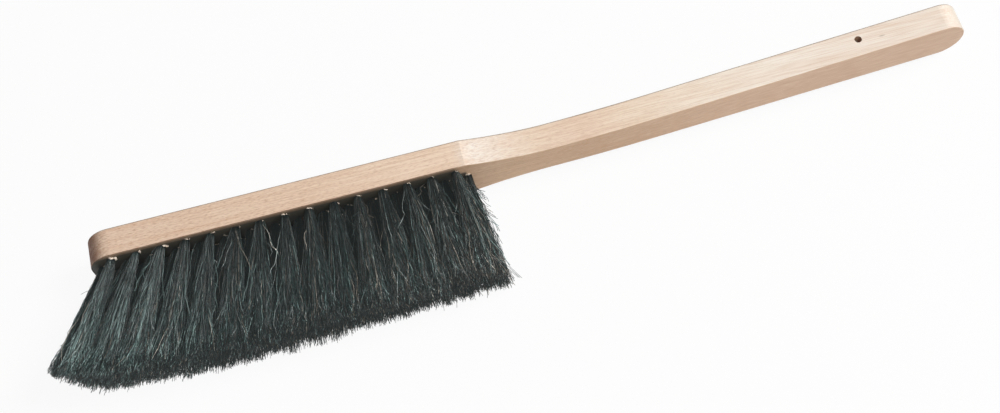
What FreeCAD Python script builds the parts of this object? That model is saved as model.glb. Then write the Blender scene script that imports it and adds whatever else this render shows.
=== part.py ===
import FreeCAD, Part
import math
import os
import re
import Sketcher

# A hand broom lying on its side: a beech handle and block sawn from one bent board, and
# leaning tufts of hair folded over wire anchors in four staggered rows of drilled holes.
# +X runs from the brush front to the handle's end, the hair points to -Y and +Z is up.
# The origin is the middle of the block's lower side face, which lies on the ground.

# Driving sizes: name, value in millimetres or degrees, meaning.
SIZES = [
    ("block_length", 227, "brush front to the shoulder edge"),
    ("block_width", 36, "across the rows"),
    ("board_thickness", 18, "block and handle alike"),
    ("front_radius", 15, "rounding of the block's front corners in plan"),
    ("neck_length", 56, "shoulder edge to the narrowest place"),
    ("neck_width", 23, "handle width at its narrowest"),
    ("neck_radius", 225, "hollow of each side of the neck"),
    ("handle_length", 319, "shoulder edge to the rounded end"),
    ("handle_end_width", 28, "width where the end rounding starts"),
    ("bend_start", 30, "shoulder edge to where the handle starts to bend"),
    ("bend_radius", 1680, "gentle bend of the handle to the back"),
    ("bend_angle", 3, "turn of that bend"),
    ("shoulder_rounding", 3, "upright edge where the neck starts"),
    ("back_rounding", 1.5, "edge along the back"),
    ("under_rounding", 0.6, "edge along the hair side"),
    ("hang_hole_diameter", 4.5, "drilled through the handle's sides"),
    ("hang_hole_from_end", 68, "hole to the handle's end"),
    ("hang_hole_rise", 2, "hole above the handle's middle, to the back"),
    ("first_tuft", 14, "brush front to the first tuft of the upper row"),
    ("last_tuft", 6.5, "last tuft of the upper row to the shoulder edge"),
    ("row_edge", 6, "outer row to the block's side"),
    ("tuft_hole_diameter", 4.6, "drilled for each tuft"),
    ("tuft_hole_depth", 11, "along the leaning hole"),
    ("tuft_clearance", 0.1, "between hair and hole, all round"),
    ("tuft_collar", 2, "length outside the hole before the hair spreads"),
    ("hair_length", 72, "underside to tip, along the tuft"),
    ("trim_height", 70.5, "underside to the trimmed tips"),
    ("tip_gap", 0.4, "between the spread tips of neighbouring tufts"),
    ("front_lean_angle", 28, "lean of the front tufts to the front"),
    ("middle_lean_angle", 7, "lean half way along"),
    ("rear_lean_angle", -2.5, "lean beside the shoulder"),
    ("anchor_thickness", 0.45, "flat wire"),
    ("anchor_height", 2, "flat wire, along the hole"),
    ("anchor_bite", 0.9, "each anchor end inside the wood"),
    ("fold_height", 1, "folded hair below the anchor"),
    ("cut_overrun", 5, "how far cuts pass the wood"),
]
NAMES = {name for name, value, meaning in SIZES}

TUFTS_PER_ROW = 15
LAST_STEP = TUFTS_PER_ROW - 1
# Each row's place across the block, in row pitches from the middle, and its first tuft's place
# along the block, in tuft pitches from the first tuft of the upper row. A row that starts before
# that tuft has one tuft more.
ROW_SHARES = {"row_1": 1.5, "row_2": 0.5, "row_3": -0.5, "row_4": -1.5}
START_SHARES = {"row_1": 0, "row_2": -0.5, "row_3": 0, "row_4": 0.5}
LAST_ROW_STEP = len(ROW_SHARES) - 1
SINGLE_ROWS = ("row_1", "row_2")
PAIRED_ROWS = ("row_3", "row_4")

# An edge whose length-wise share is below this runs straight across a face, and one that is
# nearer to the shoulder than this share of the block's length lies on it.
SEAM_SHARE = 0.01

Z_AXIS = FreeCAD.Vector(0, 0, 1)
HAIRWARD = FreeCAD.Rotation(FreeCAD.Vector(1, 0, 0), 90)

doc = FreeCAD.newDocument("HandBroom")
sheet = doc.addObject("Spreadsheet::Sheet", "Sizes")
for row, (name, value, meaning) in enumerate(SIZES, start=1):
    sheet.set("A%d" % row, meaning)
    sheet.set("B%d" % row, str(value))
    sheet.setAlias("B%d" % row, name)
doc.recompute()


def sized(formula):
    """Point every size named in a formula at its cell."""
    def place(word):
        return "Sizes." + word[0] if word[0] in NAMES else word[0]

    return re.sub(r"[a-z_]+", place, formula)


def bind(thing, **formulas):
    """Tie properties to sizes. A double underscore in a name stands for a dot."""
    for path, formula in formulas.items():
        thing.setExpression(path.replace("__", "."), sized(formula))


def measure(formula):
    """The present value of a formula."""
    return float(sheet.evalExpression(sized(formula)))


def add(kind, name, **formulas):
    """Add an object with its sizes tied."""
    thing = doc.addObject(kind, name)
    thing.Label = name
    bind(thing, **formulas)
    return thing


def new_sketch(body, name, role):
    """A sketch on one of its body's own origin planes."""
    sketch = body.newObject("Sketcher::SketchObject", name)
    plane = next(item for item in body.Origin.OriginFeatures if item.Role == role)
    sketch.AttachmentSupport = (plane, "")
    sketch.MapMode = "FlatFace"
    return sketch


def arc_between(start, end, radius, turn):
    """An arc from start to end, and which of its ends is its start. Turn 1 is anticlockwise."""
    chord = end - start
    height = math.sqrt(max(radius * radius - chord.Length * chord.Length / 4, 0))
    left = FreeCAD.Vector(-chord.y, chord.x, 0).normalize()
    centre = (start + end) * 0.5 + left * height * turn
    angles = [math.atan2(point.y - centre.y, point.x - centre.x) for point in (start, end)]
    circle = Part.Circle(centre, Z_AXIS, radius)
    if turn > 0:
        return Part.ArcOfCircle(circle, angles[0], angles[1]), (1, 2)
    return Part.ArcOfCircle(circle, angles[1], angles[0]), (2, 1)


def fix(sketch, formula, constraint):
    """Add a constraint whose value follows a formula."""
    number = sketch.addConstraint(constraint)
    sketch.setExpression("Constraints[%d]" % number, sized(formula))


def draw_loop(sketch, corners):
    """A closed outline through corners. Each corner gives its x and y formulas and the run to
    the next corner: None for a straight run, or an arc's radius formula and its turn."""
    points = [FreeCAD.Vector(measure(x), measure(y), 0) for x, y, run in corners]
    runs = []
    for index, (x, y, run) in enumerate(corners):
        start = points[index]
        end = points[(index + 1) % len(points)]
        if run is None:
            geometry, ends = Part.LineSegment(start, end), (1, 2)
        else:
            geometry, ends = arc_between(start, end, measure(run[0]), run[1])
        runs.append((sketch.addGeometry(geometry), ends))
    for index, (x, y, run) in enumerate(corners):
        line, ends = runs[index]
        before, before_ends = runs[index - 1]
        sketch.addConstraint(Sketcher.Constraint("Coincident", before, before_ends[1], line, ends[0]))
        fix(sketch, x, Sketcher.Constraint("DistanceX", -1, 1, line, ends[0], points[index].x))
        fix(sketch, y, Sketcher.Constraint("DistanceY", -1, 1, line, ends[0], points[index].y))
        if run is not None:
            fix(sketch, run[0], Sketcher.Constraint("Radius", line, measure(run[0])))


# The handle and block: a board bent behind the shoulder, sawn to its plan outline.

SHOULDER = "block_length / 2"
BEND = "block_length / 2 + bend_start"
FRONT = "-block_length / 2"
MIDDLE = "block_width / 2"
HANDLE_END = "block_length / 2 + handle_length"
END_START = "block_length / 2 + handle_length - handle_end_width / 2"
NECK = "block_length / 2 + neck_length"
OUTER_BEND = "(bend_radius + board_thickness / 2)"
INNER_BEND = "(bend_radius - board_thickness / 2)"


def bent(radius):
    """Where an edge of the board leaves the bend."""
    return (BEND + " + %s * sin(bend_angle)" % radius, "bend_radius - %s * cos(bend_angle)" % radius)


def past_end(radius):
    """The same edge carried straight on past the handle's end."""
    x, y = bent(radius)
    return (x + " + handle_length * cos(bend_angle)", y + " + handle_length * sin(bend_angle)")


def board_profile(sketch):
    front = FRONT + " - cut_overrun"
    draw_loop(sketch, [
        (front, "-board_thickness / 2", None),
        (BEND, "-board_thickness / 2", (OUTER_BEND, 1)),
        (*bent(OUTER_BEND), None),
        (*past_end(OUTER_BEND), None),
        (*past_end(INNER_BEND), None),
        (*bent(INNER_BEND), (INNER_BEND, -1)),
        (BEND, "board_thickness / 2", None),
        (front, "board_thickness / 2", None),
    ])


def plan_waste(sketch):
    """All that is sawn away around the broom's plan outline."""
    low = "-cut_overrun"
    high = "block_width + cut_overrun"
    left = FRONT + " - 2 * cut_overrun"
    right = HANDLE_END + " + handle_length"
    draw_loop(sketch, [(left, low, None), (right, low, None), (right, high, None), (left, high, None)])
    end_arc = ("handle_end_width / 2", 1)
    neck_arc = ("neck_radius", -1)
    front_arc = ("front_radius", 1)
    draw_loop(sketch, [
        (FRONT + " + front_radius", "0", None),
        (SHOULDER, "0", neck_arc),
        (NECK, MIDDLE + " - neck_width / 2", None),
        (END_START, MIDDLE + " - handle_end_width / 2", end_arc),
        (HANDLE_END, MIDDLE, end_arc),
        (END_START, MIDDLE + " + handle_end_width / 2", None),
        (NECK, MIDDLE + " + neck_width / 2", neck_arc),
        (SHOULDER, "block_width", None),
        (FRONT + " + front_radius", "block_width", front_arc),
        (FRONT, "block_width - front_radius", None),
        (FRONT, "front_radius", front_arc),
    ])


def board_middle(x):
    """Height of the board's middle at x."""
    past = x - measure(BEND)
    if past <= 0:
        return 0.0
    radius = measure("bend_radius")
    turn = math.radians(measure("bend_angle"))
    if past <= radius * math.sin(turn):
        return radius - math.sqrt(radius * radius - past * past)
    return radius * (1 - math.cos(turn)) + (past - radius * math.sin(turn)) * math.tan(turn)


def is_upright(edge, along):
    """Whether an edge runs straight from the hair side to the back."""
    straight = edge.Curve.TypeId == "Part::GeomLine"
    return straight and abs(along.y) > abs(along.x) + abs(along.z)


def is_seam(edge, along, middle):
    """Whether an edge crosses a face of the handle."""
    straight = edge.Curve.TypeId == "Part::GeomLine"
    return straight and abs(along.x) < SEAM_SHARE * along.Length and middle.x > 0


def pick_edges(shape, wanted):
    """Names of the open edges that a test of edge, run and middle point wants."""
    chosen = []
    for number, edge in enumerate(shape.Edges, start=1):
        if edge.isClosed():
            continue
        along = edge.Vertexes[-1].Point - edge.Vertexes[0].Point
        middle = edge.valueAt((edge.FirstParameter + edge.LastParameter) / 2)
        if wanted(edge, along, middle):
            chosen.append("Edge%d" % number)
    return chosen


def shoulder_edge(edge, along, middle):
    """One of the two upright edges where the neck starts."""
    near = abs(middle.x - measure(SHOULDER)) < SEAM_SHARE * measure("block_length")
    return near and is_upright(edge, along)


def back_edge(edge, along, middle):
    """Part of the outline of the back face."""
    outline = not is_upright(edge, along) and not is_seam(edge, along, middle)
    return outline and middle.y > board_middle(middle.x)


def under_edge(edge, along, middle):
    """Part of the outline of the hair side."""
    outline = not is_upright(edge, along) and not is_seam(edge, along, middle)
    return outline and middle.y < board_middle(middle.x)


def round_edges(body, name, wanted):
    """Round the wanted edges by the size of the same name."""
    before = body.Tip
    doc.recompute()
    rounding = body.newObject("PartDesign::Fillet", name)
    rounding.Base = (before, pick_edges(before.Shape, wanted))
    bind(rounding, Radius=name)
    doc.recompute()


def hang_hole_circle(sketch):
    """The hanging hole, a little behind the middle of the handle."""
    x = HANDLE_END + " - hang_hole_from_end"
    straight = "(handle_length - hang_hole_from_end - bend_start - bend_radius * sin(bend_angle))"
    y = "bend_radius * (1 - cos(bend_angle)) + %s * tan(bend_angle) + hang_hole_rise" % straight
    centre = FreeCAD.Vector(measure(x), measure(y), 0)
    circle = sketch.addGeometry(Part.Circle(centre, Z_AXIS, measure("hang_hole_diameter / 2")))
    fix(sketch, x, Sketcher.Constraint("DistanceX", -1, 1, circle, 3, centre.x))
    fix(sketch, y, Sketcher.Constraint("DistanceY", -1, 1, circle, 3, centre.y))
    diameter = "hang_hole_diameter"
    fix(sketch, diameter, Sketcher.Constraint("Diameter", circle, measure(diameter)))


def cut_through(body, name, sketch):
    """Cut a sketch through the whole body, both ways."""
    pocket = body.newObject("PartDesign::Pocket", name)
    pocket.Profile = sketch
    pocket.Type = "ThroughAll"
    pocket.Midplane = True
    return pocket


def make_board():
    """The beech body before its tuft holes are drilled."""
    body = doc.addObject("PartDesign::Body", "sawn_board")
    profile = new_sketch(body, "board_profile", "XY_Plane")
    board_profile(profile)
    board = body.newObject("PartDesign::Pad", "board")
    board.Profile = profile
    bind(board, Length="block_width")
    waste = new_sketch(body, "plan_waste", "XZ_Plane")
    plan_waste(waste)
    cut_through(body, "sawn_outline", waste)
    round_edges(body, "shoulder_rounding", shoulder_edge)
    round_edges(body, "back_rounding", back_edge)
    round_edges(body, "under_rounding", under_edge)
    circle = new_sketch(body, "hang_hole_circle", "XY_Plane")
    hang_hole_circle(circle)
    cut_through(body, "hang_hole", circle)
    doc.recompute()
    for feature in body.Group:
        if feature.isDerivedFrom("PartDesign::Feature"):
            print("%s leaves %.0f cubic mm" % (feature.Name, feature.Shape.Volume))
    return body


# One tuft, its anchor and its drilled hole, upright at the origin: the hole's mouth is at zero,
# the wood is on the +Y side and the hair on the -Y side.

ROOT_RADIUS = "tuft_hole_diameter / 2 - tuft_clearance"
TUFT_PITCH = "((block_length - first_tuft - last_tuft) / %d)" % LAST_STEP
ROW_PITCH = "((block_width - 2 * row_edge) / %d)" % LAST_ROW_STEP


def section(kind, name, height, **radii):
    """A cross section of the tuft."""
    ring = add(kind, name, Placement__Base__y=height, **radii)
    ring.Placement.Rotation = HAIRWARD
    return ring


def make_tuft_master(anchor):
    fold = section("Part::Circle", "fold_section", "tuft_hole_depth", Radius=ROOT_RADIUS)
    collar = section("Part::Circle", "collar_section", "-tuft_collar", Radius=ROOT_RADIUS)
    tip = section(
        "Part::Ellipse", "tip_section", "-hair_length",
        MajorRadius="(%s - tip_gap) / 2" % TUFT_PITCH,
        MinorRadius="(%s - tip_gap) / 2" % ROW_PITCH)
    hair = add("Part::Loft", "hair_bundle")
    hair.Sections = [fold, collar, tip]
    hair.Solid = True
    hair.Ruled = True
    tuft = add("Part::Cut", "tuft_master")
    tuft.Base = hair
    tuft.Tool = anchor
    return tuft


def make_anchor_master():
    return add(
        "Part::Box", "anchor_master",
        Length="anchor_thickness", Width="anchor_height", Height="tuft_hole_diameter + 2 * anchor_bite",
        Placement__Base__x="-anchor_thickness / 2",
        Placement__Base__y="tuft_hole_depth - fold_height - anchor_height",
        Placement__Base__z="-tuft_hole_diameter / 2 - anchor_bite")


def make_drill_master(anchor):
    """The hole and the two nicks that the anchor's ends press into its wall."""
    hole = add(
        "Part::Cylinder", "tuft_hole",
        Radius="tuft_hole_diameter / 2", Height="tuft_hole_depth + cut_overrun",
        Placement__Base__y="tuft_hole_depth")
    hole.Placement.Rotation = HAIRWARD
    drill = add("Part::Fuse", "drill_master")
    drill.Base = hole
    drill.Tool = anchor
    return drill


def make_trim():
    """The space that the hair may fill once its tips are trimmed level."""
    reach = "(block_length + 2 * hair_length)"
    return add(
        "Part::Box", "trimmed_space",
        Length=reach, Width="trim_height + board_thickness", Height="block_width",
        Placement__Base__x="-%s / 2" % reach,
        Placement__Base__y="-board_thickness / 2 - trim_height")


def lean_formula(step):
    """Lean of the tuft at a step: a parabola through the front, middle and rear leans."""
    share = step / LAST_STEP
    square = share * share
    lean_shares = (1 - 3 * share + 2 * square, 4 * share - 4 * square, 2 * square - share)
    leans = "front_lean_angle * %.9f + middle_lean_angle * %.9f + rear_lean_angle * %.9f"
    return leans % lean_shares


def row_steps(row):
    """Places of a row's tufts, in tuft pitches from the first tuft of the upper row."""
    start = START_SHARES[row]
    count = TUFTS_PER_ROW + 1 if start < 0 else TUFTS_PER_ROW
    return [start + step for step in range(count)]


def stand(master, name, row, step):
    """A copy of a master, leaning at its own place on the underside."""
    copy = add("Part::Compound", name)
    copy.Links = [master]
    copy.Placement.Rotation = FreeCAD.Rotation(Z_AXIS, 1)
    bind(
        copy,
        Placement__Base__x=FRONT + " + first_tuft + %.1f * %s" % (step, TUFT_PITCH),
        Placement__Base__y="-board_thickness / 2",
        Placement__Base__z=MIDDLE + " + %.1f * %s" % (ROW_SHARES[row], ROW_PITCH),
        Placement__Rotation__Angle="-(%s)" % lean_formula(step))
    return copy


def group(name, things):
    """Separate solids that share a node."""
    together = add("Part::Compound", name)
    together.Links = things
    return together


def make_tufts():
    """All tufts, anchors and drilled holes. Returns the finished nodes and the holes."""
    anchor = make_anchor_master()
    tuft = make_tuft_master(anchor)
    drill = make_drill_master(anchor)
    trim = make_trim()
    nodes = []
    holes = []
    trimmed = {}
    for row in ROW_SHARES:
        anchors = []
        trimmed[row] = []
        for number, step in enumerate(row_steps(row), start=1):
            tag = "%s_%02d" % (row, number)
            hair = add("Part::Common", "%s_tuft_%02d" % (row, number))
            hair.Base = stand(tuft, "hair_" + tag, row, step)
            hair.Tool = trim
            trimmed[row].append(hair)
            anchors.append(stand(anchor, "anchor_" + tag, row, step))
            holes.append(stand(drill, "drilled_" + tag, row, step))
        nodes.append(group(row + "_anchors", anchors))
    for row in SINGLE_ROWS:
        nodes.extend(trimmed[row])
    for number, pair in enumerate(zip(*(trimmed[row] for row in PAIRED_ROWS)), start=1):
        nodes.append(group("rows_3_4_tufts_%02d" % number, list(pair)))
    return nodes, holes


def make_body(board, holes):
    """The beech body with its tuft holes."""
    drilled = add("Part::Cut", "handle_and_block")
    drilled.Base = board
    drilled.Tool = group("tuft_holes", holes)
    return drilled


def write_parts(nodes):
    """Check everything, then write one file for each node."""
    for item in doc.Objects:
        if "Invalid" in item.State or "Error" in item.State:
            raise RuntimeError("%s did not build: %s" % (item.Label, item.State))
    for node in nodes:
        if node.Shape.isNull() or not node.Shape.isValid() or not node.Shape.Solids:
            raise RuntimeError("%s has no sound shape" % node.Label)
    os.makedirs("parts", exist_ok=True)
    for node in nodes:
        node.Shape.exportStep("parts/%s.step" % node.Label)
        print("%s: %d solids, %.1f cubic mm" % (node.Label, len(node.Shape.Solids), node.Shape.Volume))


board = make_board()
nodes, holes = make_tufts()
nodes.insert(0, make_body(board, holes))
doc.recompute()
write_parts(nodes)
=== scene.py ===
# %% [markdown]
# # A hand broom, dressed for its picture
# The solids of this broom are already in place: one beech body, and a plain cone for every tuft.
# This lesson keeps the wood as it is and gives it a beech finish, and combs real hairs in place
# of the cones. Everything is in metres, in the frame of the solids: +X runs from the brush front
# to the handle's end, the hair points to -Y, and the broom lies on its side on the floor at z = 0.

# %% Load the solids
import math
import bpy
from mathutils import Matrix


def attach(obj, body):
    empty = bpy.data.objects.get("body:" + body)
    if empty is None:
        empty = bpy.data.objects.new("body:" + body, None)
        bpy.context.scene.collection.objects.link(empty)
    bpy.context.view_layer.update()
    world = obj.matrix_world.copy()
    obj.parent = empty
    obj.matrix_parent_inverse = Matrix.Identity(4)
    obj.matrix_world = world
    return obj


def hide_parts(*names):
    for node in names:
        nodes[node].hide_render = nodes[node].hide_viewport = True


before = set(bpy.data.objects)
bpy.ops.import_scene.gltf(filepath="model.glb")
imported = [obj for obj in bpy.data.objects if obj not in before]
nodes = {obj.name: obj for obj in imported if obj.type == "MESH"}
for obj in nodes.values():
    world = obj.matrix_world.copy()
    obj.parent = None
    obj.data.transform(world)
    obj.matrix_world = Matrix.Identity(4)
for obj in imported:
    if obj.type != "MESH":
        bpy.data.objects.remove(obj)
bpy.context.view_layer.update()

from types import SimpleNamespace

import bmesh
import bpy
import numpy as np
from mathutils import Matrix, Vector

MM = 0.001

# %% [markdown]
# ## Camera
# The picture was taken from above the broom's long side, a little in front of the hair, from less
# than a metre away, so the handle narrows with distance. An eye point, an aim point and a roll
# are enough. They came from fitting the straight edges of the wood.

# %% Place the camera
LENS_MM = 50
SENSOR_MM = 36
EYE = Vector((78.4, -390.8, 756.5)) * MM
AIM = Vector((129.2, -22.1, -2.1)) * MM
ROLL = math.radians(-7.24)


def add_object(name, data):
    """A new object in the scene, at the origin."""
    made = bpy.data.objects.new(name, data)
    bpy.context.scene.collection.objects.link(made)
    return made


camera = add_object("camera", bpy.data.cameras.new("camera"))
camera.data.lens = LENS_MM
camera.data.sensor_width = SENSOR_MM
turn = (EYE - AIM).to_track_quat("Z", "Y").to_matrix() @ Matrix.Rotation(ROLL, 3, "Z")
camera.matrix_world = Matrix.Translation(EYE) @ turn.to_4x4()
bpy.context.scene.camera = camera
print("camera", [round(c / MM) for c in EYE], "mm")

# %% [markdown]
# ## Materials
# Colours are written as they look on a screen, so one function turns them to the linear values
# that shaders take. A second small function adds a node, sets it up and links its inputs. The stops
# of a colour ramp are no inputs, so they have a function of their own.

# %% Colour and node helpers


def linear(hex_colour):
    """A linear RGBA colour from an sRGB hex value."""
    shares = [int(hex_colour[i:i + 2], 16) / 255 for i in (1, 3, 5)]
    return [c / 12.92 if c <= 0.04045 else ((c + 0.055) / 1.055) ** 2.4 for c in shares] + [1.0]


def new_material(name):
    """A material with its node tree and its Principled shader."""
    material = bpy.data.materials.new(name)
    material.use_nodes = True
    return material, material.node_tree, material.node_tree.nodes["Principled BSDF"]


def add_node(tree, kind, inputs=None, **settings):
    """Add a node. Inputs are values, or sockets to link, by name or by number."""
    made = tree.nodes.new(kind)
    for name, value in settings.items():
        setattr(made, name, value)
    for key, value in (inputs or {}).items():
        if isinstance(value, bpy.types.NodeSocket):
            tree.links.new(value, made.inputs[key])
        else:
            made.inputs[key].default_value = value
    return made


def set_ramp(node, stops):
    """Give a colour ramp its stops of place and hex colour."""
    ramp = node.color_ramp
    while len(ramp.elements) < len(stops):
        ramp.elements.new(1.0)
    for element, (place, colour) in zip(ramp.elements, stops):
        element.position = place
        element.color = linear(colour)


def coat(mesh, material):
    """Give a mesh this one finish."""
    mesh.materials.clear()
    mesh.materials.append(material)


# %% [markdown]
# ## Floor
# The broom lies on a sheet of white paper. More light would make the paper white, but it would bleach
# the wood as well, so the floor shows white to the camera, to gloss and to glass, and keeps a share
# of its own shading, which holds the soft shadow. It is large, so that no view reaches its edge.

# %% Paper floor
FLOOR_SIZE = 14.0
PAPER_ROUGHNESS = 0.9
WHITE_SHARE = 0.93

bm = bmesh.new()
bmesh.ops.create_grid(bm, x_segments=1, y_segments=1, size=FLOOR_SIZE / 2)
floor_mesh = bpy.data.meshes.new("floor")
bm.to_mesh(floor_mesh)
bm.free()
floor = add_object("floor", floor_mesh)

# Matt paper: an even white with a soft shadow and no glare.
paper, tree, shader = new_material("white_paper_floor")
shader.inputs["Base Color"].default_value = linear("#dcdcdc")
shader.inputs["Roughness"].default_value = PAPER_ROUGHNESS
rays = add_node(tree, "ShaderNodeLightPath")
seen = add_node(tree, "ShaderNodeMath",
                {0: rays.outputs["Is Camera Ray"], 1: rays.outputs["Is Glossy Ray"]}, operation="MAXIMUM")
seen = add_node(tree, "ShaderNodeMath",
                {0: seen.outputs[0], 1: rays.outputs["Is Transmission Ray"]}, operation="MAXIMUM")
share = add_node(tree, "ShaderNodeMath", {0: seen.outputs[0], 1: WHITE_SHARE}, operation="MULTIPLY")
glow = add_node(tree, "ShaderNodeEmission", {"Strength": 1.0})
mix = add_node(tree, "ShaderNodeMixShader", {0: share.outputs[0], 1: shader.outputs[0], 2: glow.outputs[0]})
tree.links.new(mix.outputs[0], tree.nodes["Material Output"].inputs["Surface"])
coat(floor_mesh, paper)
print("paper floor,", FLOOR_SIZE, "m wide")

# %% [markdown]
# ## Light
# A soft lamp stands to the right, beyond the handle's end, so the slanted neck is the brightest
# part of the wood and the brush front the darkest. A low, weak strip lamp faces the cut ends of the
# hair, and a weak soft lamp near the camera reaches into the gaps between the tufts. The world fills
# in from all round and is paler on the side of the first lamp, as a room with one window is.

# %% Lamps and world
LAMPS_AIM = Vector((0.15, 0.0, 0.0))
# Place and size are in metres, power is in watts.
LAMPS = {"key_lamp": (Vector((2.25, 0.10, 2.05)), (1.2, 1.2), 84.0),
         "low_lamp": (Vector((0.75, -0.85, 0.12)), (1.5, 0.2), 1.5),
         "fill_lamp": (Vector((0.1, -1.0, 1.95)), (1.0, 1.0), 7.0)}
WORLD_DARK, WORLD_PALE = 0.04, 0.40

for name, (place, size, power) in LAMPS.items():
    lamp = add_object(name, bpy.data.lights.new(name, "AREA"))
    lamp.data.shape = "RECTANGLE"
    lamp.data.size, lamp.data.size_y = size
    lamp.data.energy = power
    lamp.location = place
    lamp.rotation_euler = (place - LAMPS_AIM).to_track_quat("Z", "Y").to_euler()

world = bpy.data.worlds.new("studio")
world.use_nodes = True
tree = world.node_tree
sky = add_node(tree, "ShaderNodeTexCoord")
sky = add_node(tree, "ShaderNodeSeparateXYZ", {0: sky.outputs["Generated"]})
sky = add_node(tree, "ShaderNodeMapRange",
               {"Value": sky.outputs["X"], "From Min": -1.0, "To Min": WORLD_DARK, "To Max": WORLD_PALE})
tree.links.new(sky.outputs[0], tree.nodes["Background"].inputs["Strength"])
tree.nodes["Background"].inputs["Color"].default_value = linear("#ffffff")
bpy.context.scene.world = world
bpy.context.scene.view_settings.view_transform = "Standard"
print(len(LAMPS), "soft lamps and the world are set")

# %% [markdown]
# ## Beech
# Planed beech, left raw: a matt, pale pinkish tan, with long faint growth bands, fine fibre lines, and
# many short flecks where the rays of the wood are cut. An image of wood would be the quick way, but
# noise that is stretched along X, the way of the grain, needs no file and runs through the whole board.
# Real fibres are finer than a pixel of the picture, so they are drawn coarser, to show.

# %% Grain
# For each pattern: mm across the grain, how far it is stretched along it, and its levels of detail.
GROWTH = (3.6, 45, 2.0)
FIBRE = (0.55, 40, 2.0)
FLECK = (0.6, 5.0, 1.0)


def grain_noise(tree, across_mm, stretch, detail):
    """Noise with features this many mm across the grain, stretched along it, from 0 to 1."""
    spot = add_node(tree, "ShaderNodeTexCoord")
    across = 1 / (across_mm * MM)
    space = add_node(tree, "ShaderNodeMapping",
                     {"Vector": spot.outputs["Object"], "Scale": (across / stretch, across, across)})
    noise = add_node(tree, "ShaderNodeTexNoise",
                     {"Vector": space.outputs[0], "Scale": 1.0, "Detail": detail})
    return noise.outputs[0]


# Planed raw beech: pale and matt, with a faint sheen where the growth bands are smoother.
beech, tree, shader = new_material("planed_raw_beech")
growth = grain_noise(tree, *GROWTH)
fibre = grain_noise(tree, *FIBRE)
fleck = grain_noise(tree, *FLECK)
print("growth bands, fibres and flecks of", GROWTH[0], FIBRE[0], "and", FLECK[0], "mm")

# %% [markdown]
# ### Stains and painted shade
# The colour of the wood is built up like thin stains, one over the other, and some of them are painted
# shade. Each stain goes where some values say so: a pattern, a place on the broom in mm, or the way that
# a face looks. The sides pale from the block to the handle, and the neck is the palest, partly the wood's
# own tone and partly painted highlight where the lamp falls. The underside and the back are a warmer tan.

# %% Where things are on the broom
FRONT_MM, END_MM = -113.5, 430.0


def stain_and_shade(onto, colour, *shares):
    """Mix a colour, as a hex value or a socket, onto another, by the product of some shares: a stain, or
    painted shade.

    Each share is a value, two limits of that value, and the share that each limit gives.
    """
    tree = onto.id_data
    total = 1.0
    for value, low, high, at_low, at_high in shares:
        share = add_node(tree, "ShaderNodeMapRange", {"Value": value, "From Min": low, "From Max": high,
                                                      "To Min": at_low, "To Max": at_high})
        share = add_node(tree, "ShaderNodeMath", {0: share.outputs[0], 1: total}, operation="MULTIPLY")
        total = share.outputs[0]
    colour = linear(colour) if isinstance(colour, str) else colour
    mix = add_node(tree, "ShaderNodeMix", {"Factor": total, 6: onto, 7: colour}, data_type="RGBA")
    return mix.outputs[2]


spot = add_node(tree, "ShaderNodeTexCoord")
place = add_node(tree, "ShaderNodeVectorMath",
                 {0: spot.outputs["Object"], "Scale": 1 / MM}, operation="SCALE")
place = add_node(tree, "ShaderNodeSeparateXYZ", {0: place.outputs[0]})
facing = add_node(tree, "ShaderNodeSeparateXYZ", {0: spot.outputs["Normal"]})
x_mm, z_mm = place.outputs["X"], place.outputs["Z"]
facing_x, facing_y = facing.outputs["X"], facing.outputs["Y"]
to_end = add_node(tree, "ShaderNodeMapRange", {"Value": x_mm, "From Min": FRONT_MM, "From Max": END_MM})
to_end = to_end.outputs[0]
print("stains run from", FRONT_MM, "to", END_MM, "mm")

# %% Beech colours
underneath = (facing_y, -0.5, -1.0, 0.0, 1.0)
behind = (facing_y, 0.5, 1.0, 0.0, 1.0)
near_front = (to_end, 0.9, 0.0, 0.0, 1.0)
on_block = (to_end, 0.42, 0.0, 0.0, 1.0)
front_end = (facing_x, -0.28, -0.78, 0.0, 1.0)

# The side ramp is partly painted highlight: the pale neck and the pale stretch of the handle stand for
# where the lamp falls on the sides. The underside and the back take the other ramp, without it.
sides_and_sheen = add_node(tree, "ShaderNodeValToRGB", {0: to_end})
set_ramp(sides_and_sheen, [(0.00, "#e9ccb4"), (0.14, "#e7cab1"), (0.405, "#edd3bb"), (0.43, "#eae1d6"),
                 (0.50, "#e7d1bb"), (0.55, "#e6cbb4"), (0.62, "#ebd9c4"), (0.78, "#ece2d5"),
                 (0.88, "#e5d9cc"), (1.00, "#e2d7ca")])
below = add_node(tree, "ShaderNodeValToRGB", {0: to_end})
set_ramp(below, [(0.30, "#e0ba9a"), (0.46, "#e7c29f"), (0.55, "#d8b391"), (0.72, "#e3bfa1"),
                 (1.00, "#dfbea4")])
wood = stain_and_shade(sides_and_sheen.outputs[0], below.outputs[0], underneath)
wood = stain_and_shade(wood, below.outputs[0], behind)
# Growth bands, then dark and pale fibre lines.
wood = stain_and_shade(wood, "#d2ab8b", (growth, 0.42, 0.68, 0.0, 0.26))
wood = stain_and_shade(wood, "#c9a284", (fibre, 0.45, 0.75, 0.0, 0.50))
wood = stain_and_shade(wood, "#f6e8d8", (fibre, 0.48, 0.25, 0.0, 0.30))
# Dark and pale flecks, which fade toward the handle's end, and redder bands in the block.
wood = stain_and_shade(wood, "#b07f60", (fleck, 0.54, 0.70, 0.0, 0.52), near_front)
wood = stain_and_shade(wood, "#f6dfc8", (fleck, 0.46, 0.30, 0.0, 0.45), near_front)
wood = stain_and_shade(wood, "#c98d6b", (growth, 0.48, 0.62, 0.0, 0.16), on_block)
# End grain drinks the light: red brown at the front, and a duller tan at the handle's end. Both are also
# painted shade: the front end is darkened where it faces away from the lamp, and the handle's end is toned
# down where the lamp falls full on it.
wood = stain_and_shade(wood, "#8a4c33", front_end, (growth, 0.3, 0.7, 0.58, 0.92))
wood = stain_and_shade(wood, "#c3b9ac", (facing_x, 0.25, 0.8, 0.0, 0.95))
print("beech has", len(tree.nodes), "nodes so far")
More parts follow.
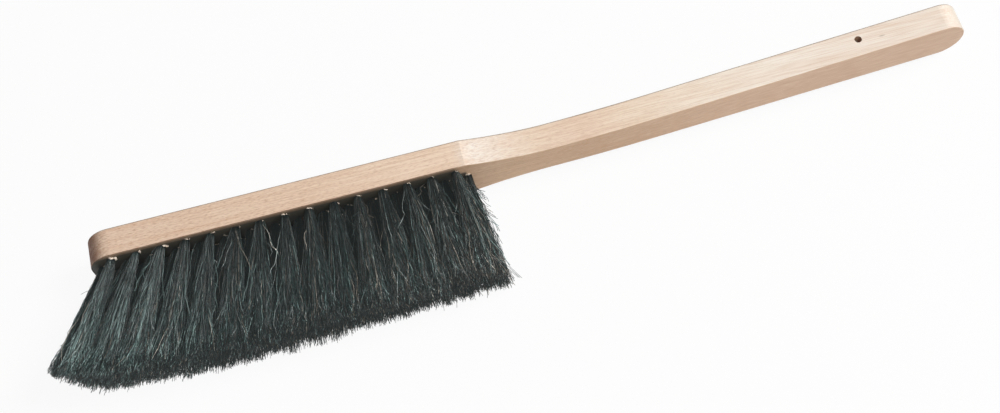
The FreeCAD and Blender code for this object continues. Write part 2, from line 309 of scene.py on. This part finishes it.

# %% [markdown]
# ### Marks and painted shade on the wood
# Beside the hanging hole is a small grey mark of pith. Painted shadow darkens the wood among the tufts,
# where the hair shades it, and the gap behind the last one. Painted shade also lays a brown line along the
# rounded lower edge of the block, and a grey one along the back edge, where the rounding turns from the
# light. Fibre lines also stand up a little, as fine ridges.

# %% Marks, painted shade, ridges and gloss
PITH_AT_MM = (379.0, 9.7, 31.4)
PITH_SIZE_MM = (2.6, 0.8, 9.0)
MIDDLE_MM = 18.0
BLOCK_END_MM = (109.5, 106.5)
SHADE_FROM_MIDDLE_MM = (17.6, 16.8)
PAINTED_SHADOW_FROM_MIDDLE_MM = (16.0, 14.2)
SHADOWED_GAP_END_MM = (114.0, 113.0)
SHADOWED_GAP_TOP_MM = (28.5, 26.5)
BEECH_ROUGHNESS = (0.54, 0.70)
FIBRE_DEEP_MM = 0.03

pith = add_node(tree, "ShaderNodeMapping",
                {"Vector": spot.outputs["Object"],
                 "Location": [-at / size for at, size in zip(PITH_AT_MM, PITH_SIZE_MM)],
                 "Scale": [1 / (size * MM) for size in PITH_SIZE_MM]})
pith = add_node(tree, "ShaderNodeVectorMath", {0: pith.outputs[0]}, operation="LENGTH")
wood = stain_and_shade(wood, "#a08d7b", (pith.outputs["Value"], 1.0, 0.3, 0.0, 0.55))

from_middle = add_node(tree, "ShaderNodeMath", {0: z_mm, 1: MIDDLE_MM}, operation="SUBTRACT")
from_middle = add_node(tree, "ShaderNodeMath", {0: from_middle.outputs[0]}, operation="ABSOLUTE").outputs[0]
in_block = (x_mm, *BLOCK_END_MM, 0.0, 1.0)
shaded_lower_edge = (facing_y, -0.25, -0.6, 0.0, 0.75)
above_flat = (facing_y, -0.99, -0.9, 0.0, 1.0)
# Painted shade: a brown line on the rounded lower edge of the block.
wood = stain_and_shade(wood, "#6b4a38", shaded_lower_edge, above_flat, in_block)
# Painted shadow of the hair on the underside among the tufts, in two steps.
wood = stain_and_shade(wood, "#6a6254", (from_middle, *SHADE_FROM_MIDDLE_MM, 0.0, 0.55), underneath, in_block)
wood = stain_and_shade(wood, "#625f55", (from_middle, *PAINTED_SHADOW_FROM_MIDDLE_MM, 0.0, 0.94), underneath, in_block)
# Painted shadow in the gap behind the last tuft.
wood = stain_and_shade(wood, "#5c5e59", (x_mm, *SHADOWED_GAP_END_MM, 0.0, 0.9), (z_mm, *SHADOWED_GAP_TOP_MM, 0.0, 1.0), underneath)
# Painted shade: a grey line on the back edge's rounding, which turns from the light.
wood = stain_and_shade(wood, "#9a8979", (facing_y, 0.15, 0.5, 0.0, 0.85), (facing_y, 0.98, 0.8, 0.0, 1.0))
tree.links.new(wood, shader.inputs["Base Color"])

rough = add_node(tree, "ShaderNodeMapRange",
                 {"Value": growth, "To Min": BEECH_ROUGHNESS[0], "To Max": BEECH_ROUGHNESS[1]})
tree.links.new(rough.outputs[0], shader.inputs["Roughness"])
ridges = add_node(tree, "ShaderNodeBump", {"Height": fibre, "Distance": FIBRE_DEEP_MM * MM})
tree.links.new(ridges.outputs[0], shader.inputs["Normal"])
body = nodes["handle_and_block"].data
coat(body, beech)
print("beech on", len(body.polygons), "faces")

# %% [markdown]
# ## Anchors
# A flat bit of drawn steel wire holds every tuft in its hole. The wood hides them all, so their solids
# stay as they are. The die leaves fine lines on such wire, and a varied roughness is enough for those.

# %% Wire finish
DIE_LINES = (0.08, 12, 1.0)
WIRE_ROUGHNESS = (0.25, 0.45)

# Drawn steel: a bright grey with a streaked half gloss.
wire, tree, shader = new_material("drawn_steel_wire")
shader.inputs["Base Color"].default_value = linear("#c3c2be")
shader.inputs["Metallic"].default_value = 1.0
rough = add_node(tree, "ShaderNodeMapRange", {"Value": grain_noise(tree, *DIE_LINES),
                                              "To Min": WIRE_ROUGHNESS[0], "To Max": WIRE_ROUGHNESS[1]})
tree.links.new(rough.outputs[0], shader.inputs["Roughness"])
anchors = [node for name, node in nodes.items() if name.endswith("anchors")]
for node in anchors:
    coat(node.data, wire)
print("wire on", len(anchors), "groups of anchors")

# %% [markdown]
# ## Hair
# Each tuft is a bundle of stiff horsehair, folded in its hole, so some hundreds of ends stand out
# of every hole. A bevelled curve with one spline for each hair gives all of them a thin
# three-sided body, and turns into one mesh. Real horsehair is about 0.2 mm thick. These hairs are
# coarser, so that single ones show, and fewer.

# %% Section of a hair
HAIR_MM = 0.33
SIDES = 3

ring = bpy.data.curves.new("hair_section", "CURVE")
ring.dimensions = "2D"
loop = ring.splines.new("POLY")
loop.points.add(SIDES - 1)
for index, point in enumerate(loop.points):
    angle = -math.tau * index / SIDES
    point.co = (HAIR_MM * MM / 2 * math.cos(angle), HAIR_MM * MM / 2 * math.sin(angle), 0, 1)
loop.use_cyclic_u = True
section = add_object("hair_section", ring)
print("a hair has", SIDES, "sides and is", HAIR_MM, "mm thick")

# %% [markdown]
# ### Bundles
# Hairs stand in small locks that share a bend, a length and a brightness, because that is what makes
# the streaks, the dark gaps and the lumpy cut. Nearly half of the hairs are loose and go their own way.
# A few stray far out of the tuft. A tuft is of three kinds: -1 at the brush front, 1 at the rear and
# 0 between. The front has no strays, and those of the rear lean outward. Lengths are in mm from here on.

# %% Bundle the hairs of a tuft
LOCKS = 22
LOCK_MM = 0.75
HOLE_RADIUS_MM = 2.15
OWN_START_SHARE, LOCK_START_SHARE = 0.45, 0.6
TIP_ACROSS_MM = 4.6
LOOSE_SHARE = 0.45
STRAY_SHARE = {-1: 0.0, 0: 0.03, 1: 0.09}


def disc(rng, count):
    """Random points in a unit disc."""
    radius = np.sqrt(rng.random(count))
    angle = rng.random(count) * math.tau
    return np.stack([radius * np.cos(angle), radius * np.sin(angle)], 1)


def bundle(count, spread_mm, outward, rng):
    """The lock of every hair, its start and tip off the tuft's axis, and which hairs are free."""
    locks = disc(rng, LOCKS)
    lock = rng.integers(LOCKS, size=count)
    start = disc(rng, count) * OWN_START_SHARE + locks[lock] * LOCK_START_SHARE
    start *= HOLE_RADIUS_MM / np.maximum(1, np.linalg.norm(start, axis=1))[:, None]
    loose = rng.random(count) < LOOSE_SHARE
    stray = rng.random(count) < STRAY_SHARE[outward]
    aim = np.where(loose[:, None], disc(rng, count), locks[lock])
    aim *= np.stack([np.where(aim[:, 0] < 0, *spread_mm), np.full(count, TIP_ACROSS_MM)], 1)
    apart = rng.normal(0, LOCK_MM, (count, 2))
    return SimpleNamespace(lock=lock, start=start, tip=aim + apart, apart=apart, loose=loose, stray=stray)


print(LOCKS, "locks in a tuft,", LOOSE_SHARE, "of its hairs loose")

# %% [markdown]
# ### Bends
# No hair is straight. A lock bows as one, each hair bows and waves a little by itself, and every point
# of it is kinked, most of all near the cut. The fan says how soon the hairs of a tuft spread.

# %% Bend the hairs
STRAY_MM = {-1: (3.0, 3.0), 0: (6.5, 3.0), 1: (4.0, 3.0)}
STRAY_FARTHEST = 1.4
STRAY_CURVE = {-1: 3, 0: 1.6, 1: 2.4}
LOOSE_FREER = 2.6
LOCK_BOW_MM, HAIR_BOW_MM = 1.4, 1.6
BOW_BACK_SHARE = 0.6
WAVE_MM, WAVES = 0.6, 1.8
KINK_MM, STRAY_KINK_SHARE = 0.27, 0.5
KINK_RISE, KINK_AT_CUT, KINK_CURVE = 3, 3.4, 8


def bend(hair, points, fan_power, outward, rng):
    """How far each point of a hair is off the tuft's axis, along the row and across it."""
    count = len(hair.lock)
    t = np.linspace(0, 1, points)[None, :, None]
    away = np.clip(rng.normal(0, 1.0, (count, 2)), -STRAY_FARTHEST, STRAY_FARTHEST)
    away = away * STRAY_MM[outward] * hair.stray[:, None]
    away[:, 0] = np.where(outward, np.abs(away[:, 0]) * outward, away[:, 0])

    freer = np.where(hair.loose, LOOSE_FREER, 1.0)[:, None, None]
    bow = rng.normal(0, LOCK_BOW_MM, (LOCKS, 2))[hair.lock]
    bow = bow + rng.normal(0, HAIR_BOW_MM, (count, 2)) * freer[:, 0]
    wave = np.sin(t * math.tau * WAVES + rng.random((count, 1, 2)) * math.tau) * WAVE_MM * t * freer
    kink = rng.normal(0, KINK_MM, (count, points, 2))
    kink *= np.minimum(1, KINK_RISE * t) * (1 + KINK_AT_CUT * t ** KINK_CURVE)
    kink *= np.where(hair.stray, STRAY_KINK_SHARE, 1.0)[:, None, None]
    fan = t ** rng.uniform(*fan_power, (count, 1, 1))
    offset = hair.start[:, None] * (1 - fan) + hair.tip[:, None] * fan
    offset = offset + bow[:, None] * t * (t - BOW_BACK_SHARE)
    return offset + away[:, None] * t ** STRAY_CURVE[outward] + wave + kink


print("locks bow by", LOCK_BOW_MM, "mm and hairs by", HAIR_BOW_MM, "mm")

# %% [markdown]
# ### The cut
# The ends are sheared in one long, faintly bowed line. A table gives the drop of that line below
# the wood, at distances from the brush front. In front of the block the cut turns up. Locks differ in
# length and come to blunt points, a fifth of the hairs are worn short, and the strays are shorter still.
# The lean and the drop depend on each other, so the reach of a hair is found in a few rounds.

# %% Cut the hairs
CUT_AT_MM = [-33, -28, -22, -12, 2, 20, 70, 110, 236]
CUT_DROP_MM = [50.5, 58.3, 61.2, 64.6, 68.3, 69.5, 72.0, 71.3, 66.0]
LOCK_UNEVEN_MM = {-1: 1.8, 0: 1.6, 1: 1.5}
HAIR_UNEVEN_MM = 0.3
BLUNT_MM = 0.6
LONGER_MM = 0.7
SHORT_SHARE, SHORTER_MM = 0.2, 16
STRAY_SHORTER_MM = {-1: (4, 48), 0: (4, 48), 1: (18, 50)}
BLOCK_LENGTH_MM = 227.0
INSIDE_MM = 3.0
LOWEST_MM = 0.3
FIRST_REACH_MM = 70.0
ROUNDS = 4


def cut(hair, offset, root, lean, outward, rng):
    """The hairs as points, from inside the hole to the cut."""
    count, points = offset.shape[:2]
    axis = np.array([-math.sin(lean), -math.cos(lean), 0.0])
    along_row = np.array([math.cos(lean), -math.sin(lean), 0.0])
    longer = rng.normal(0, LOCK_UNEVEN_MM[outward], LOCKS)[hair.lock]
    longer = longer - BLUNT_MM * np.linalg.norm(hair.apart, axis=1) / LOCK_MM
    longer = longer + rng.normal(0, HAIR_UNEVEN_MM, count) + LONGER_MM
    short = rng.random(count) < SHORT_SHARE
    longer -= short * rng.random(count) * SHORTER_MM
    longer -= hair.stray * rng.uniform(*STRAY_SHORTER_MM[outward], count)
    reach = np.full(count, FIRST_REACH_MM)
    for _ in range(ROUNDS):
        tip_x = root[0] + reach * axis[0] + offset[:, -1, 0] * along_row[0] + BLOCK_LENGTH_MM / 2
        drop = np.interp(tip_x, CUT_AT_MM, CUT_DROP_MM) + longer
        reach = (drop + offset[:, -1, 0] * along_row[1]) / -axis[1]
    t = np.linspace(0, 1, points)
    length = reach[:, None] * t - INSIDE_MM * (1 - t)
    hairs = root + length[..., None] * axis + offset[..., :1] * along_row + offset[..., 1:] * [0, 0, 1]
    hairs[..., 2] = np.maximum(hairs[..., 2], LOWEST_MM)
    return hairs


print("the cut drops", min(CUT_DROP_MM), "to", max(CUT_DROP_MM), "mm below the wood")

# %% [markdown]
# ### The dye
# The mix is dyed a greenish black. Some hairs kept a grey or brown cast and a few stayed straw pale.
# Every hair takes one place on a colour ramp, where each tint has a stretch from dark to bright. The hairs
# of the front tufts are greener and those of the rear tufts greyer and browner. Bright hairs catch the
# eye as streaks. They come in some locks more than in others. Their share along the row is partly painted
# sheen: most at the front tufts, which lean so that their hairs catch the lamp, and fewest in the middle.
# The inner rows have fewer bright hairs and darker dark ones, a painted shade for rows that lie in shadow.

# %% Tints
TINTS = {"green": (0.00, 0.30), "grey": (0.34, 0.64), "brown": (0.68, 0.86), "straw": (0.90, 0.98)}
# The share of each tint at the front, how much it changes to the rear, and the power of the way there.
FRONT_SHARES = np.array([0.80, 0.15, 0.03, 0.02])
CHANGE_SHARES = np.array([-0.52, 0.40, 0.20, 0.03])
CHANGE_POWERS = np.array([0.7, 0.7, 2, 2])
# Share of bright hairs from front to rear: partly painted sheen, most where the front tufts lean into the
# lamp.
BRIGHT_AT = [0, 0.15, 0.35, 0.6, 1]
BRIGHT_SHARES = [0.45, 0.35, 0.15, 0.12, 0.27]
LOCK_BRIGHTNESS = (0.2, 1.8)
STRAY_BRIGHT_SHARE = 0.2
BRIGHT_LIGHT = (0.42, 1.0)
DARK_LIGHT = 0.40


def dye(hair, to_rear, painted_light, rng):
    """A place on the colour ramp for every hair, and which hairs are bright."""
    count = len(hair.lock)
    shares = FRONT_SHARES + CHANGE_SHARES * to_rear ** CHANGE_POWERS
    kind = rng.choice(len(TINTS), count, p=shares / shares.sum())
    chance = rng.random(count)
    likely = painted_light * np.interp(to_rear, BRIGHT_AT, BRIGHT_SHARES)
    likely = likely * rng.uniform(*LOCK_BRIGHTNESS, LOCKS)[hair.lock]
    bright = chance < likely + STRAY_BRIGHT_SHARE * hair.stray
    light = np.where(bright, rng.uniform(*BRIGHT_LIGHT, count), DARK_LIGHT * painted_light * rng.random(count) ** 2)
    low, high = np.array(list(TINTS.values()))[kind].T
    return low + (high - low) * light, bright


print("tints:", ", ".join(TINTS))

# %% [markdown]
# ### Horsehair
# The UV map of a hair carries its place on the ramp across, and the way from root to tip upwards, so
# the material needs nothing else. The dye is patchy along a hair, and the bright patches are also painted
# highlights that break the streaks into short glints. Near the cut, painted glints speckle the ends, where
# split ends catch the light. Along a hair the colour is darkest at the root, brightest past the middle and
# dull at the cut; the brightening past the middle is painted light that evens out how the lamp falls on the
# tufts.
# Light that wanders from hair to hair would need many bounces, so a faint glow stands in for it.

# %% Horsehair finish
HAIR_LENGTH_MM = 72
PATCH_MM, PATCHES_ACROSS = 8.0, 140.0
# Split ends are finer than a pixel, so the painted glints are drawn coarser, to show.
SPECK_MM, SPECKS_ACROSS = 1.6, 260.0
SPECK_STRENGTH = 6.0
HAIR_ROUGHNESS = 0.36
HAIR_SPECULAR = 0.45
HAIR_GLOW = 0.040

# Dyed horsehair: near black, with a thin silky gloss along each hair.
horsehair, tree, shader = new_material("dyed_horsehair")
where = add_node(tree, "ShaderNodeUVMap", uv_map="OFBake")
axes = add_node(tree, "ShaderNodeSeparateXYZ", {0: where.outputs[0]})
tints = add_node(tree, "ShaderNodeValToRGB", {0: axes.outputs["X"]})
set_ramp(tints, [(0.00, "#1c2726"), (0.12, "#324947"), (0.30, "#8aa19d"),
                 (0.34, "#232828"), (0.46, "#3b4342"), (0.64, "#949d9a"),
                 (0.68, "#2e2b29"), (0.87, "#7a6e63"), (0.89, "#93867a"), (1.00, "#d6cfc4")])
# Patchy dye, whose bright patches are also painted highlights that break the streaks.
cell = add_node(tree, "ShaderNodeMapping", {"Vector": where.outputs[0],
                                            "Scale": (PATCHES_ACROSS, HAIR_LENGTH_MM / PATCH_MM, 1.0)})
patch = add_node(tree, "ShaderNodeTexNoise", {"Vector": cell.outputs[0], "Scale": 1.0, "Detail": 1.0})
patch = add_node(tree, "ShaderNodeMapRange", {"Value": patch.outputs[0], "From Min": 0.38, "From Max": 0.66,
                                              "To Min": 0.62, "To Max": 2.15})
# Painted glints near the cut, where split ends catch the light.
cell = add_node(tree, "ShaderNodeMapping", {"Vector": where.outputs[0],
                                            "Scale": (SPECKS_ACROSS, HAIR_LENGTH_MM / SPECK_MM, 1.0)})
speck = add_node(tree, "ShaderNodeTexNoise", {"Vector": cell.outputs[0], "Scale": 1.0, "Detail": 1.0})
speck = add_node(tree, "ShaderNodeMapRange", {"Value": speck.outputs[0], "From Min": 0.54, "From Max": 0.66,
                                              "To Max": SPECK_STRENGTH})
near_cut = add_node(tree, "ShaderNodeMapRange",
                    {"Value": axes.outputs["Y"], "From Min": 0.82, "From Max": 0.93})
strength = add_node(tree, "ShaderNodeMath", operation="MULTIPLY_ADD",
                    inputs={0: speck.outputs[0], 1: near_cut.outputs[0], 2: patch.outputs[0]})
# Along each hair: darkest at the root; the brightening past the middle is painted light, evening out how
# the lamp falls along the tufts.
tone_along_hair = add_node(tree, "ShaderNodeValToRGB", {0: axes.outputs["Y"]})
set_ramp(tone_along_hair, [(0.05, "#868686"), (0.42, "#c8c8c8"), (0.68, "#ffffff"), (0.86, "#ffffff"),
                (0.95, "#b4b4b4")])
colour = add_node(tree, "ShaderNodeVectorMath",
                  {0: tints.outputs[0], 1: tone_along_hair.outputs[0]}, operation="MULTIPLY")
colour = add_node(tree, "ShaderNodeVectorMath",
                  {0: colour.outputs[0], "Scale": strength.outputs[0]}, operation="SCALE")
tree.links.new(colour.outputs[0], shader.inputs["Base Color"])
shader.inputs["Roughness"].default_value = HAIR_ROUGHNESS
shader.inputs["Specular IOR Level"].default_value = HAIR_SPECULAR
shader.inputs["Emission Color"].default_value = linear("#8f9c9a")
shader.inputs["Emission Strength"].default_value = HAIR_GLOW
print("horsehair has", len(tree.nodes), "nodes")

# %% [markdown]
# ### From curve to mesh
# Blender lists the end caps first, from the last spline to the first, and then the tubes in order.
# That is enough to tell which hair and which ring a corner belongs to. The caps have corners of
# their own, so they are merged with the tubes to close every hair.

# %% Grow a mesh of hairs
SIDE_STEP = 0.004
ROOT_UP, UP_RANGE, CAP_STEP = 0.02, 0.96, 0.01
MERGE_DISTANCE = 1e-7


def mesh_from_curve(name, curve):
    """A mesh of a curve with its bevel."""
    drawn = add_object(name, curve)
    mesh = bpy.data.meshes.new_from_object(drawn.evaluated_get(bpy.context.evaluated_depsgraph_get()))
    bpy.data.objects.remove(drawn)
    mesh.name = name
    return mesh


def map_hairs(mesh, tint, points):
    """The UV map of a mesh of hairs: tints across, from root to tip upwards."""
    corner = np.empty(len(mesh.loops), dtype=int)
    mesh.loops.foreach_get("vertex_index", corner)
    on_caps = 2 * SIDES
    in_tube = corner - on_caps * len(tint)
    on_tube = in_tube >= 0
    hair = np.where(on_tube, in_tube // (SIDES * points), len(tint) - 1 - corner // on_caps)
    ring_number = np.where(on_tube, in_tube % (SIDES * points) // SIDES,
                           (corner % on_caps < SIDES) * (points - 1))
    side = corner % SIDES
    up = ROOT_UP + UP_RANGE * ring_number / (points - 1) + np.where(on_tube, 0, CAP_STEP * (side == 1))
    for old in list(mesh.uv_layers):
        mesh.uv_layers.remove(old)
    uv = np.stack([tint[hair] + SIDE_STEP * side, up], 1)
    mesh.uv_layers.new(name="OFBake").data.foreach_set("uv", uv.ravel())


def grow(name, hairs, tint, thick):
    """A closed mesh of hairs with their UV map."""
    curve = bpy.data.curves.new(name, "CURVE")
    curve.dimensions = "3D"
    curve.bevel_mode = "OBJECT"
    curve.bevel_object = section
    curve.use_fill_caps = True
    points = hairs.shape[1]
    for hair, radius in zip(hairs, thick):
        spline = curve.splines.new("POLY")
        spline.points.add(points - 1)
        spline.points.foreach_set("co", np.c_[hair * MM, np.ones(points)].ravel())
        spline.points.foreach_set("radius", np.full(points, radius))
    mesh = mesh_from_curve(name, curve)
    map_hairs(mesh, tint, points)

    bm = bmesh.new()
    bm.from_mesh(mesh)
    bmesh.ops.remove_doubles(bm, verts=bm.verts, dist=MERGE_DISTANCE)
    bm.to_mesh(mesh)
    bm.free()
    coat(mesh, horsehair)
    return mesh


print("hairs run from", ROOT_UP, "to", ROOT_UP + UP_RANGE, "up the UV map")

# %% [markdown]
# ### Tufts in rows
# Four rows of holes are drilled in the block, the second and the fourth half a step aside. The hair leans
# forward at the front, stands nearly upright in the middle and leans back a little at the rear: a parabola
# through three leans gives every tuft its own. Inner rows are hidden, so they have fewer hairs and points.

# %% Place and comb one tuft
UNDERSIDE_MM = -9.0
TUFTS_PER_ROW = 15
LAST_STEP = TUFTS_PER_ROW - 1
FIRST_TUFT_MM = 14.0
LAST_TUFT_MM = 6.5
PITCH_MM = (BLOCK_LENGTH_MM - FIRST_TUFT_MM - LAST_TUFT_MM) / LAST_STEP
ROW_HEIGHTS_MM = {1: 30.0, 2: 22.0, 3: 14.0, 4: 6.0}
ROW_STARTS = {1: 0.0, 2: -0.5, 3: 0.0, 4: 0.5}
FRONT_LEAN, MIDDLE_LEAN, REAR_LEAN = 28.0, 7.0, -2.5
HAIRS_IN_ROW = {1: 480, 2: 480, 3: 380, 4: 380}
POINTS_IN_ROW = {1: 12, 2: 12, 3: 8, 4: 8}
TIP_ALONG_MM = 9.4
EDGE_ALONG_MM = {1: 2.2, 2: 1.6, 3: 4.2, 4: 5.5}
FAN_IN_ROW = {1: (0.66, 1.0), 2: (0.5, 0.95), 3: (0.45, 0.9), 4: (0.45, 0.9)}
# Painted shade of the inner rows: fewer bright hairs and darker dark ones.
PAINTED_LIGHT_IN_ROW = {1: 1.0, 2: 0.55, 3: 0.55, 4: 0.55}
THICK_SHARES, BRIGHT_THICKER = (0.7, 1.1), 1.2


def lean_at(step):
    """Lean to the front, in radians: a parabola through three leans."""
    s = step / LAST_STEP
    degrees = (FRONT_LEAN * (1 - 3 * s + 2 * s * s) + MIDDLE_LEAN * (4 * s - 4 * s * s)
               + REAR_LEAN * (2 * s * s - s))
    return math.radians(degrees)


def root_of(step, row):
    """The middle of a hole's mouth."""
    x = -BLOCK_LENGTH_MM / 2 + FIRST_TUFT_MM + step * PITCH_MM
    return np.array([x, UNDERSIDE_MM, ROW_HEIGHTS_MM[row]])


def tuft(row, number):
    """Points, tints and thicknesses of one tuft's hairs."""
    step = ROW_STARTS[row] + number - 1
    rng = np.random.default_rng(100 * row + number)
    outward = int(step > LAST_STEP - 1) - int(step <= 0)
    spread_mm = (EDGE_ALONG_MM[row] if step <= 0 else TIP_ALONG_MM,
                 EDGE_ALONG_MM[row] if step > LAST_STEP else TIP_ALONG_MM)
    hair = bundle(HAIRS_IN_ROW[row], spread_mm, outward, rng)
    offset = bend(hair, POINTS_IN_ROW[row], FAN_IN_ROW[row], outward, rng)
    hairs = cut(hair, offset, root_of(step, row), lean_at(step), outward, rng)
    tint, bright = dye(hair, min(1, max(0, step / LAST_STEP)), PAINTED_LIGHT_IN_ROW[row], rng)
    thick = rng.uniform(*THICK_SHARES, len(hairs)) * np.where(bright, BRIGHT_THICKER, 1.0)
    return hairs, tint, thick


print("a tuft every", round(PITCH_MM, 2), "mm")

# %% Grow every tuft
tuft_rows = {}
for row, count in ((1, TUFTS_PER_ROW), (2, TUFTS_PER_ROW + 1)):
    for number in range(1, count + 1):
        tuft_rows["row_%d_tuft_%02d" % (row, number)] = [(row, number)]
for number in range(1, TUFTS_PER_ROW + 1):
    tuft_rows["rows_3_4_tufts_%02d" % number] = [(3, number), (4, number)]

faces = 0
for node, places in tuft_rows.items():
    hairs, tint, thick = (np.concatenate(parts) for parts in zip(*(tuft(*place) for place in places)))
    grown = add_object(node + "_hair", grow(node + "_hair", hairs, tint, thick))
    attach(grown, "root")
    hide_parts(node)
    faces += len(grown.data.polygons)
bpy.data.objects.remove(section)
print(len(tuft_rows), "tuft pieces,", faces, "faces")

# %% [markdown]
# ## Torn rims
# The drill tore small pale slivers of wood at the handle side of the holes. There are more near the brush
# front and at the last holes, and those at the front are bigger. A curve that hooks round the rim, with
# some extrusion and a small bevel, makes such a sliver, and the radius of its points tapers it. The curve
# is drawn in X and Z and then stood upright, so its extrusion runs along Y.

# %% Torn fibre finish
TORN_FIBRE = (0.5, 4, 1.0)
TORN_ROUGHNESS = 0.8

# Freshly torn beech: paler and rougher than the planed wood, with no gloss.
torn, tree, shader = new_material("torn_beech_fibre")
tone = add_node(tree, "ShaderNodeValToRGB", {0: grain_noise(tree, *TORN_FIBRE)})
set_ramp(tone, [(0.3, "#d9c2aa"), (0.7, "#f4ebdf")])
tree.links.new(tone.outputs[0], shader.inputs["Base Color"])
shader.inputs["Roughness"].default_value = TORN_ROUGHNESS
print("torn fibre", TORN_FIBRE[0], "mm across")

# %% Draw the slivers
SLIVER_HEIGHT_MM = 1.15
SLIVER_THICK_MM = 0.25
SLIVER_POINTS = 4
SLIVER_SIZES = (0.6, 1.3)
FRONT_SIZE, SIZE_LOSS, SIZE_POWER = 1.9, 1.15, 0.6
FRONT_SHARE, MOST_MORE = 0.25, 3
TURN_LEAST, TURN_MOST, LAST_TURN = (-10, -60), (75, 60), (70, 0)
RIM_GAP_MM = 0.35
OUT_MM = (0.2, 1.6)
WOBBLE_MM, TILT_MM = 0.12, 0.2
RADII, TAPER = (0.4, 1.0), 0.7


def draw_sliver(curve, root, size, last, rng):
    """One sliver that hooks round the rim of a hole, drawn in X and Z."""
    turn_from, turn_by = np.radians(rng.uniform(TURN_LEAST, TURN_MOST) + np.multiply(LAST_TURN, last))
    outwards = rng.uniform(*OUT_MM)
    spline = curve.splines.new("POLY")
    spline.points.add(SLIVER_POINTS - 1)
    for share, point in zip(np.linspace(0, 1, SLIVER_POINTS), spline.points):
        angle = turn_from + turn_by * share
        away = HOLE_RADIUS_MM + RIM_GAP_MM + outwards * size * share + rng.normal(0, WOBBLE_MM)
        x = root[0] + away * math.cos(angle)
        z = root[2] + away * math.sin(angle)
        point.co = (x * MM, z * MM, rng.normal(0, TILT_MM) * MM, 1)
        point.radius = size * rng.uniform(*RADII) * (1 - TAPER * (2 * share - 1) ** 2)


rng = np.random.default_rng(7)
curve = bpy.data.curves.new("torn_rims", "CURVE")
curve.dimensions = "3D"
curve.extrude = SLIVER_HEIGHT_MM * MM / 2
curve.bevel_depth = SLIVER_THICK_MM * MM / 2
curve.bevel_resolution = 0
curve.use_fill_caps = True
for row, number in (place for places in tuft_rows.values() for place in places):
    step = ROW_STARTS[row] + number - 1
    to_rear = max(0, step / LAST_STEP)
    last = step > LAST_STEP
    fewest = 2 if to_rear < FRONT_SHARE or last else int(row == 1)
    for _ in range(rng.integers(fewest, fewest + MOST_MORE)):
        size = rng.uniform(*SLIVER_SIZES) * (FRONT_SIZE - SIZE_LOSS * min(1, 2 * to_rear) ** SIZE_POWER)
        draw_sliver(curve, root_of(step, row), size, last, rng)
print(len(curve.splines), "slivers")

# %% Stand the slivers on the wood
SUNK_SHARE = 0.3

slivers = mesh_from_curve("torn_rims", curve)
stand = Matrix(((1, 0, 0), (0, 0, -1), (0, 1, 0))).to_4x4()
lower = Matrix.Translation((0, (UNDERSIDE_MM - SLIVER_HEIGHT_MM * SUNK_SHARE) * MM, 0))
slivers.transform(lower @ stand)
bm = bmesh.new()
bm.from_mesh(slivers)
bmesh.ops.remove_doubles(bm, verts=bm.verts, dist=MERGE_DISTANCE)
bmesh.ops.recalc_face_normals(bm, faces=bm.faces)
bm.to_mesh(slivers)
bm.free()
coat(slivers, torn)
torn_rims = add_object("torn_rims", slivers)
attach(torn_rims, "root")
print("torn rims:", len(slivers.polygons), "faces")
